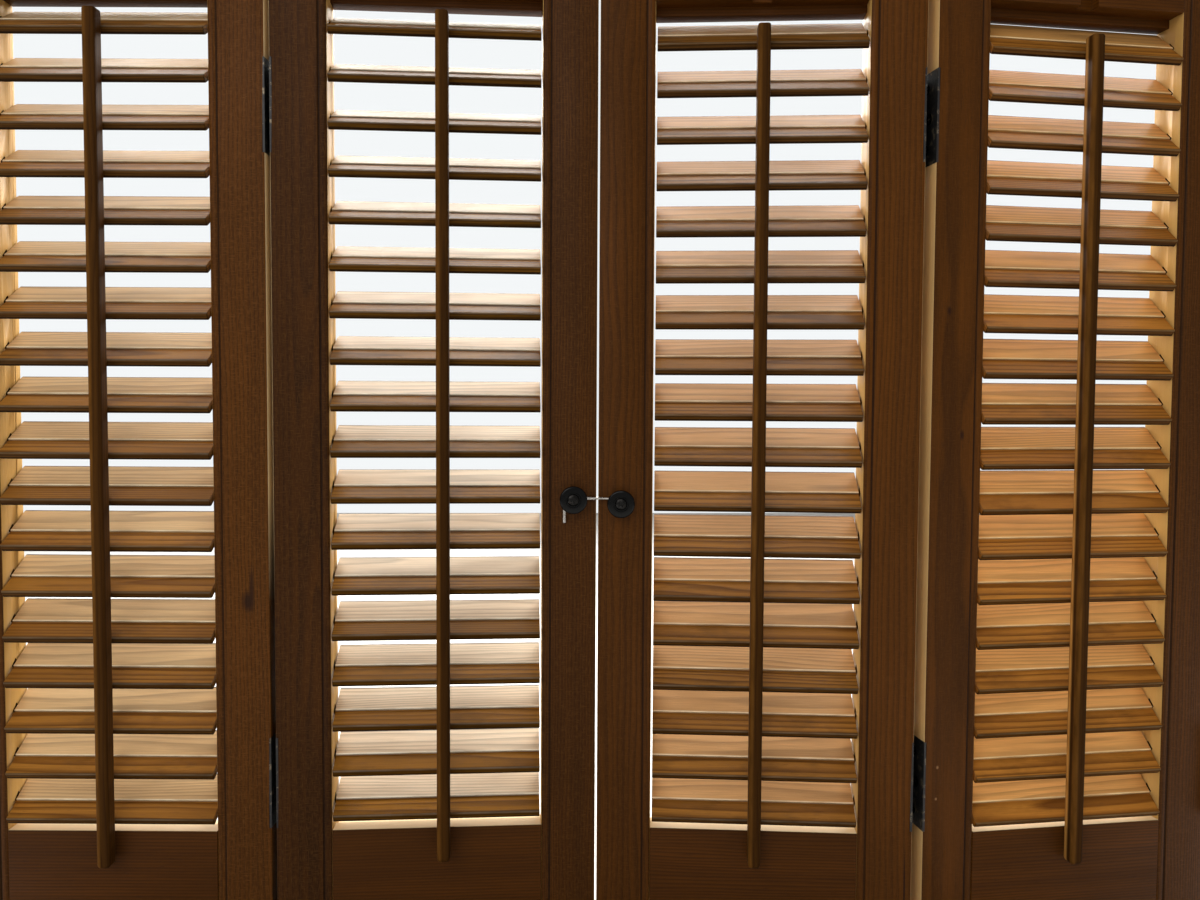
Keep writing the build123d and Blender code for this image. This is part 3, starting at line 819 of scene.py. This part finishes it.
rail_materials = {
    "top_rail": plain_wood("top_rail_wood", RAIL_RINGS),
    # The bottom rail has painted light on its upward faces
    "bottom_rail": plain_wood("bottom_rail_wood", RAIL_RINGS, lit_on_top=True),
}
surround_material = plain_wood("surround_wood", SURROUND_RINGS, surround_vector)
rod_materials = {number: rod_wood(number, lit) for number, lit in ROD_LIT_SIDE_SHARES.items()}
louvre_materials = {number: louvre_wood(number) for number in LOUVRE_TONES}

# Each stile's wood: width of its rings, tone, raised fibres, marks and the painted light on the side in the
# gap
stile_materials = {
    (1, "left_stile"): stile_wood("1_left", 0.0021),
    (1, "right_stile"): stile_wood("1_right", 0.0024, 1.12, 0.35, leaf_1_marks, lit_from=UPPER_PART),
    (2, "left_stile"): stile_wood("2_left", 0.0013, 0.68, 0.40, lit_from=UPPER_PART),
    (2, "right_stile"): stile_wood("2_right", 0.0017, 0.86, 0.30),
    (3, "left_stile"): stile_wood("3_left", 0.0022, 0.98, 0.20),
    (3, "right_stile"): stile_wood("3_right", 0.0028, 1.15, 0.15, leaf_3_marks, GOLDEN_LIT_SIDE),
    (4, "left_stile"): stile_wood("4_left", 0.0020, 0.97, 0.15, leaf_4_marks, GOLDEN_LIT_SIDE),
    (4, "right_stile"): stile_wood("4_right", 0.0019, 0.92),
}

latch_black = black_plastic()
hinge_steel = hinge_paint()
hook_steel = bright_steel("hook_wire", HOOK_STEEL, DULL_HOOK)
staple_steel = bright_steel("staple_steel", STAPLE_STEEL, DULL_STAPLE)
screw_steel = bright_steel("screw_steel", SCREW_STEEL, DULL_SCREW)


# Eased edges of the timber
EDGE_EASE = 0.00045
EASE_SEGMENTS = 3
SHORTEST_EASED_EDGE = 0.008
LEAST_EASED_ANGLE = 50
FLAT_ANGLE = 0.5
JOIN_DISTANCE = 0.000002

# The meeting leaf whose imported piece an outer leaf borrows, and the way the grain runs
COPY_SOURCES = {
    "left_stile": (2, grain_upright),
    "right_stile": (3, grain_upright),
    "top_rail": (3, grain_along_leaf),
    "bottom_rail": (3, grain_along_leaf),
}


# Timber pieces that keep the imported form

def eased_copy(node, source_leaf, grain):
    """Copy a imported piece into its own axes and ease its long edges."""
    bm = bmesh.new()
    bm.from_mesh(frame["nodes"][node].data)
    bmesh.ops.transform(bm, matrix=(leaf_frames[source_leaf] @ grain).inverted(), verts=bm.verts)
    bmesh.ops.remove_doubles(bm, verts=bm.verts, dist=JOIN_DISTANCE)
    bmesh.ops.dissolve_limit(bm, angle_limit=radians(FLAT_ANGLE), verts=bm.verts, edges=bm.edges)
    edges = [edge for edge in bm.edges if edge.is_manifold and edge.calc_length() > SHORTEST_EASED_EDGE]
    long_edges = [edge for edge in edges if edge.calc_face_angle(0) > radians(LEAST_EASED_ANGLE)]
    ease = {"offset": EDGE_EASE, "segments": EASE_SEGMENTS, "profile": 0.5}
    bmesh.ops.bevel(bm, geom=long_edges, affect="EDGES", clamp_overlap=True, **ease)
    return bm


def add_leaf_timber(leaf):
    """Add a leaf's stiles and rails; the outer leaves borrow the meeting leaves' forms."""
    for part, (source_leaf, grain) in COPY_SOURCES.items():
        own_leaf = leaf if leaf in MEETING_LEAVES else source_leaf
        node = f"leaf_{own_leaf}_{part}"
        material = rail_materials.get(part) or stile_materials[leaf, part]
        bm = eased_copy(node, own_leaf, grain)
        place = leaf_frames[leaf] @ grain
        piece = finish_piece(f"leaf_{leaf}_{part}_timber", bm, place, f"leaf_{leaf}", material)
        if leaf in MEETING_LEAVES:
            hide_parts(node)
        else:
            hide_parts(f"leaf_{leaf}_frame_with_louvres")


# Louvres and their staples

def louvre_section():
    """Give a louvre's section: a lap above at the front and one below at the back, with rounded noses."""
    front = -LOUVRE_CHORD / 2
    lower = -LOUVRE_THICKNESS / 2
    lapped = LOUVRE_THICKNESS / 2 - LAP_STEP
    # The last number marks edges for the shader: -1.0 is painted shade at the nose, 0.1 a light rub, and
    # 0.3 and 1.0 rubbing with a painted highlight along the step; the other half mirrors them
    half = [
        (front, lower, NOSE_ROUND, -1.0),
        (front, lapped, STEP_ROUND, 0.1),
        (-LAP_START, lapped, 0, 0.3),
        (-LAP_START, -lower, STEP_ROUND, 1.0),
    ]
    other_half = [(-x, -y, radius, wear_and_painted_light) for x, y, radius, wear_and_painted_light in half]
    return rounded_outline(half + other_half, LOUVRE_WEAR_AND_LIGHT_WIDTH)


def blade_body(leaf, place):
    """Name the body that carries a louvre."""
    return f"leaf_{leaf}_blade_{place:02d}" if leaf in MEETING_LEAVES else f"leaf_{leaf}"


def louvre_frame(leaf, height, x):
    """Give a louvre's own axes, at a distance along its leaf."""
    pivot = Matrix.Translation((x, PIVOT_DEPTH, height))
    return leaf_frames[leaf] @ pivot @ Matrix.Rotation(radians(LEAF_TILTS[leaf]), 4, "X")


def staple_points(across, half_width):
    """List the points of a staple that stands out along -y, its legs spread across."""
    leg = STAPLE_REACH - half_width
    ends = [across * half_width, -across * half_width]
    root = Vector((0, 2 * STAPLE_WIRE, 0))
    bow = [
        across * half_width * cos(a) - Vector((0, leg + half_width * sin(a), 0))
        for a in (pi * step / STAPLE_STEPS for step in range(STAPLE_STEPS + 1))
    ]
    return [ends[0] + root] + bow + [ends[1] + root]


def add_louvres(leaf):
    """Add a leaf's louvres, each with the staple in its nose."""
    section = louvre_section()
    length = LEAF_WIDTH - 2 * STILE_WIDTH - 2 * LOUVRE_END_GAP
    ease = LOUVRE_END_EASE
    ends = [(0, ease), (ease, 0), (length - ease, 0), (length, ease)]
    nose = Vector((0, -LOUVRE_CHORD / 2, -ROD_AXIS_DROP))
    for place, height in enumerate(pivot_heights, start=1):
        body = blade_body(leaf, place)
        matrix = louvre_frame(leaf, height, STILE_WIDTH + LOUVRE_END_GAP)
        name = f"leaf_{leaf}_louvre_{place:02d}"
        bm = swept(section, ends)
        piece = finish_piece(f"{name}_timber", bm, matrix, body, louvre_materials[leaf])
        if leaf in MEETING_LEAVES:
            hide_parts(f"leaf_{leaf}_louvre_{place:02d}")
        middle = louvre_frame(leaf, height, LEAF_WIDTH / 2 + ROD_SHIFTS[leaf]) @ Matrix.Translation(nose)
        staple = wire(staple_points(Vector((1, 0, 0)), LOUVRE_STAPLE_HALF_WIDTH), STAPLE_WIRE, STAPLE_SIDES)
        name = f"leaf_{leaf}_louvre_staple_{place:02d}"
        finish_piece(name, staple, middle, body, staple_steel)


# Tilt rods

def rod_section():
    """Give a rod's section seen from above: x along the leaf, y to the back."""
    side = ROD_WIDTH / 2
    # The last number marks edges for the shader: the left edges get rubbing with painted light, the back
    # right a light rub, and the front right painted shade
    return rounded_outline([
        (-side, 0, ROD_BACK_ROUND, 1.0),
        (side, 0, ROD_BACK_ROUND, 0.1),
        (side, -ROD_DEPTH, ROD_FRONT_ROUND, -0.2),
        (-side, -ROD_DEPTH, ROD_FRONT_ROUND, 0.5),
    ], ROD_WEAR_AND_LIGHT_WIDTH, steps=5)


def add_rod(leaf):
    """Add a leaf's tilt rod with its rounded ends and its staples."""
    lean = radians(LEAF_TILTS[leaf])
    back = -LOUVRE_CHORD / 2 * cos(lean) + ROD_AXIS_DROP * sin(lean)
    rise = -LOUVRE_CHORD / 2 * sin(lean) - ROD_AXIS_DROP * cos(lean)
    bottom = pivot_heights[-1] + rise - ROD_REACH_DOWN
    length = pivot_heights[0] + rise + ROD_REACH_UP - bottom
    x = LEAF_WIDTH / 2 + ROD_SHIFTS[leaf]
    y = PIVOT_DEPTH + back - ROD_NOSE_GAP
    upper_end = [(length - away, inset) for away, inset in ROD_UPPER_END]
    matrix = leaf_frames[leaf] @ Matrix.Translation((x, y, bottom)) @ grain_upright
    body = f"leaf_{leaf}_rod" if leaf in MEETING_LEAVES else f"leaf_{leaf}"
    bm = swept(rod_section(), ROD_LOWER_END + upper_end)
    piece = finish_piece(f"leaf_{leaf}_tilt_rod_timber", bm, matrix, body, rod_materials[leaf])
    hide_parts(f"leaf_{leaf}_tilt_rod")
    forwards = staple_points(Vector((0, 0, 1)), ROD_STAPLE_HALF_WIDTH)
    staple = wire([Vector((p.x, -p.y, p.z)) for p in forwards], STAPLE_WIRE, STAPLE_SIDES)
    staples = repeated(staple, [Matrix.Translation((0, 0, height + rise)) for height in pivot_heights])
    matrix = leaf_frames[leaf] @ Matrix.Translation((x, y, 0))
    finish_piece(f"leaf_{leaf}_rod_staples", staples, matrix, body, staple_steel)


# Screws

def scratch_object(name, bm):
    """Turn a mesh into an object that is only needed for a cut."""
    mesh = bpy.data.meshes.new(name)
    bm.to_mesh(mesh)
    bm.free()
    scratch = bpy.data.objects.new(name, mesh)
    bpy.context.scene.collection.objects.link(scratch)
    return scratch


def screw_head(radius, dome, segments):
    """Make a domed screw head with a cross cut in it."""
    angles = [pi / 2 * step / SCREW_DOME_STEPS for step in range(SCREW_DOME_STEPS + 1)]
    profile = [(radius * sin(a), dome * cos(a)) for a in angles] + [(radius, -SCREW_SEAT), (0, -SCREW_SEAT)]
    head = scratch_object("screw_head", lathe(profile, segments))
    half_sizes = Vector((SCREW_CROSS_REACH * radius, SCREW_CROSS_HALF_WIDTH, SCREW_CROSS_DEPTH))
    size = Matrix.Diagonal((*(2 * half_sizes), 1))
    cutter = bmesh.new()
    for turn in (0, 90):
        place = Matrix.Rotation(radians(turn), 4, "Z") @ Matrix.Translation((0, 0, dome))
        bmesh.ops.create_cube(cutter, size=1, matrix=place @ size)
    cross = scratch_object("cross", cutter)
    cut = head.modifiers.new("cross", "BOOLEAN")
    cut.operation = "DIFFERENCE"
    cut.object = cross
    cut.use_self = True
    bpy.context.view_layer.update()
    cut_mesh = bpy.data.meshes.new_from_object(head.evaluated_get(bpy.context.evaluated_depsgraph_get()))
    bm = bmesh.new()
    bm.from_mesh(cut_mesh)
    for scratch in (head, cross):
        bpy.data.objects.remove(scratch)
    bpy.data.meshes.remove(cut_mesh)
    return bm


def hinge_screw_places(x, facing):
    """Give the places of the screws of two hinges on one edge, staggered and each turned its own way."""
    places = []
    for middle in (HINGE_INSET, LEAF_HEIGHT - HINGE_INSET):
        for step in (-1, 0, 1):
            y = LEAF_THICKNESS / 2 + HINGE_SCREW_STAGGER * (abs(step) - 0.5)
            place = Matrix.Translation((x, y, middle + step * HINGE_SCREW_SPACING))
            outward = Matrix.Rotation(radians(90 * facing), 4, "Y")
            places.append(place @ outward @ Matrix.Rotation(radians(HINGE_SCREW_TURN * step), 4, "Z"))
    return places


def add_hinge_screws():
    """Add three screws to each hinge plate, on the leaves' edges and the jambs."""
    half_opening = cad_box[1].x - SURROUND_FACE
    plates = []
    for leaf, edges in {1: (0, 1), 2: (0,), 3: (1,), 4: (0, 1)}.items():
        plates += [(f"leaf_{leaf}", leaf_frames[leaf], edge * LEAF_WIDTH, 2 * edge - 1) for edge in edges]
    for side, drop in ((-1, LEAF_DROPS[1]), (1, LEAF_DROPS[4])):
        jamb = Matrix.Translation((0, 0, -LEAF_HEIGHT / 2 - drop))
        plates.append(("frame", jamb, side * half_opening, -side))
    head = screw_head(HINGE_SCREW_RADIUS, HINGE_SCREW_DOME, HINGE_SCREW_SEGMENTS)
    for number, (body, base, x, facing) in enumerate(plates, start=1):
        screws = repeated(head.copy(), hinge_screw_places(x, facing))
        finish_piece(f"hinge_screws_{number}", screws, base, body, screw_steel)
    head.free()


# Latch

def add_post(leaf, x, node, screw_turn):
    """Add a latch post with its screw."""
    head = POST_LENGTH + HEAD_THICKNESS
    angles = [pi / 2 * (1 - step / HEAD_ROUND_STEPS) for step in range(HEAD_ROUND_STEPS + 1)]
    rim = [(HEAD_RADIUS - HEAD_ROUND * (1 - sin(a)), head - HEAD_ROUND * (1 - cos(a))) for a in angles]
    profile = [(0, 0), (POST_RADIUS, 0), (POST_RADIUS, POST_LENGTH)]
    profile += [(HEAD_RADIUS - HEAD_BACK_EASE, POST_LENGTH), (HEAD_RADIUS, POST_LENGTH + HEAD_BACK_EASE)]
    profile += rim
    profile += [(RECESS_RADIUS + RECESS_EASE, head), (RECESS_RADIUS, head - RECESS_EASE)]
    profile += [(RECESS_RADIUS, head - RECESS_DEPTH), (0, head - RECESS_DEPTH)]
    facing_room = Matrix.Rotation(radians(90), 4, "X")
    matrix = leaf_frames[leaf] @ Matrix.Translation((x, 0, LATCH_HEIGHT)) @ facing_room
    body = f"leaf_{leaf}"
    turned = lathe(profile)
    post = finish_piece(f"{node}_turned", turned, matrix, body, latch_black, POST_SHARP_ANGLE)
    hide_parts(node)
    turn = Matrix.Rotation(radians(screw_turn), 4, "Z")
    seat = matrix @ Matrix.Translation((0, 0, head - RECESS_DEPTH)) @ turn
    screw = screw_head(SCREW_RADIUS, SCREW_DOME, SCREW_SEGMENTS)
    finish_piece(f"{node}_screw", screw, seat, body, screw_steel)


def add_hook():
    """Bend the wire hook from its eye across the gap and over the keeper post."""
    eye = leaf_frames[3] @ Vector((LATCH_INSET, -POST_LENGTH / 2, LATCH_HEIGHT))
    keeper = leaf_frames[2] @ Vector((LEAF_WIDTH - LATCH_INSET, -POST_LENGTH / 2, LATCH_HEIGHT))
    reach = keeper.x - eye.x
    rise = keeper.z - eye.z
    bend = POST_RADIUS + WIRE_RADIUS + HOOK_CLEARANCE
    climb = acos((HOOK_RISE + HOOK_BEND - rise) / (bend + HOOK_BEND))
    shank_start = -sqrt(bend**2 - HOOK_RISE**2)
    shank_end = reach + (bend + HOOK_BEND) * sin(climb)
    climb_degrees = climb * 180 / pi
    start = Vector((shank_start, 0, HOOK_RISE))
    rest_of_eye = arc(Vector((0, 0, 0)), bend, EYE_START, EYE_SWEEP, EYE_STEPS)
    bend_middle = Vector((shank_end, 0, HOOK_RISE + HOOK_BEND))
    upper = arc(bend_middle, HOOK_BEND, 270, -climb_degrees, HOOK_BEND_STEPS)
    over = arc(Vector((reach, 0, rise)), bend, 90 - climb_degrees, 90 + climb_degrees, HOOK_OVER_STEPS)
    finger = Vector((reach - bend, 0, rise - HOOK_DROP))
    points = list(reversed(rest_of_eye)) + [start] + upper + over + [finger]
    bm = wire(points, WIRE_RADIUS)
    place = Matrix.Translation(eye)
    piece = finish_piece("latch_hook_wire", bm, place, "hook", hook_steel, WIRE_SHARP_ANGLE)
    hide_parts("latch_hook")


# Stage

def pale_stage(name, colour, glow):
    """Make a pale stage surface; with a glow, the camera and reflections see it in that colour."""
    material, tree, shader = new_shader(name)
    shader.inputs["Roughness"].default_value = STAGE_ROUGHNESS
    tone = remap(tree, noise(tree, own_coordinates(tree), 3.0, 3.0), 0.3, 0.7, 0.985, 1.015)
    tree.links.new(toned(tree, colour, tone), shader.inputs["Base Color"])
    if glow:
        rays = put(tree, "ShaderNodeLightPath").outputs
        mirrored = maths(tree, "ADD", rays["Is Glossy Ray"], rays["Is Transmission Ray"])
        seen = maths(tree, "MINIMUM", maths(tree, "ADD", rays["Is Camera Ray"], mirrored), 1.0)
        light = put(tree, "ShaderNodeEmission", {"Color": glow, "Strength": 1.0}).outputs[0]
        mixed = put(tree, "ShaderNodeMixShader", {0: seen, 1: shader.outputs[0], 2: light}).outputs[0]
        tree.links.new(mixed, tree.nodes["Material Output"].inputs["Surface"])
    return material


def add_stage_plane(name, matrix, size, material):
    """Add a flat stage surface."""
    bm = bmesh.new()
    bmesh.ops.create_grid(bm, x_segments=1, y_segments=1, size=0.5)
    mesh = bpy.data.meshes.new(name)
    bm.to_mesh(mesh)
    bm.free()
    mesh.materials.append(material)
    plane = bpy.data.objects.new(name, mesh)
    plane.matrix_world = matrix @ Matrix.Diagonal((*size, 1, 1))
    bpy.context.scene.collection.objects.link(plane)


def add_lamp(name, place, size, power, colour):
    """Add a soft rectangular lamp that faces the middle of the shutters."""
    lamp = bpy.data.lights.new(name, "AREA")
    lamp.shape = "RECTANGLE"
    lamp.size, lamp.size_y = size
    lamp.energy = power
    lamp.color = colour
    holder = bpy.data.objects.new(name, lamp)
    holder.location = place
    holder.rotation_euler = (-Vector(place)).to_track_quat("-Z", "Y").to_euler()
    holder.visible_camera = False
    bpy.context.scene.collection.objects.link(holder)


def add_world():
    """Surround the stage with even light."""
    world = bpy.data.worlds.new("world")
    world.use_nodes = True
    background = world.node_tree.nodes["Background"]
    background.inputs["Color"].default_value = WORLD_COLOUR
    background.inputs["Strength"].default_value = WORLD_STRENGTH
    bpy.context.scene.world = world


def add_camera():
    """Stand the camera where the photograph was taken."""
    turn = radians(CAMERA_TURN)
    pitch = radians(CAMERA_PITCH)
    roll = radians(CAMERA_ROLL)
    forward = Vector((sin(turn) * cos(pitch), cos(turn) * cos(pitch), -sin(pitch)))
    level_right = forward.cross(Vector((0, 0, 1))).normalized()
    level_up = level_right.cross(forward)
    right = level_right * cos(roll) + level_up * sin(roll)
    up = right.cross(forward)
    camera = bpy.data.cameras.new("camera")
    camera.sensor_width = SENSOR_WIDTH
    camera.lens = FOCAL_PIXELS * SENSOR_WIDTH / IMAGE_WIDTH
    camera.clip_start = CAMERA_CLIP
    holder = bpy.data.objects.new("camera", camera)
    rotation = Matrix((right, up, -forward)).transposed().to_4x4()
    holder.matrix_world = Matrix.Translation(CAMERA_PLACE) @ rotation
    bpy.context.scene.collection.objects.link(holder)
    bpy.context.scene.camera = holder


def dress(node, material):
    """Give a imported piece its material."""
    materials = frame["nodes"][node].data.materials
    materials.clear()
    materials.append(material)


# Build the pieces
for leaf in LEAF_TURNS:
    add_leaf_timber(leaf)
    add_louvres(leaf)
    add_rod(leaf)
add_post(2, LEAF_WIDTH - LATCH_INSET, "latch_keeper_post", KEEPER_SCREW_TURN)
add_post(3, LATCH_INSET, "latch_hook_post", HOOK_SCREW_TURN)
add_hook()
add_hinge_screws()
dress("surround_frame", surround_material)
for node in frame["nodes"]:
    if node.endswith("hinge_leaves"):
        dress(node, hinge_steel)

# Set the stage and light it
floor_height = cad_box[0].z
floor = pale_stage("floor", FLOOR, None)
backdrop = pale_stage("backdrop", BACKDROP, BACKDROP_GLOW)
add_stage_plane("floor", Matrix.Translation((0, 0, floor_height)), (STAGE_SIZE, STAGE_SIZE), floor)
backdrop_middle = Matrix.Translation((0, BACKDROP_DISTANCE, floor_height + BACKDROP_HEIGHT / 2))
facing_camera = backdrop_middle @ Matrix.Rotation(radians(90), 4, "X")
add_stage_plane("backdrop", facing_camera, (STAGE_SIZE, BACKDROP_HEIGHT), backdrop)
add_lamp("window_side", **WINDOW_LAMP)
add_lamp("room_side", **ROOM_LAMP)
add_world()
bpy.context.scene.view_settings.view_transform = "Standard"
add_camera()
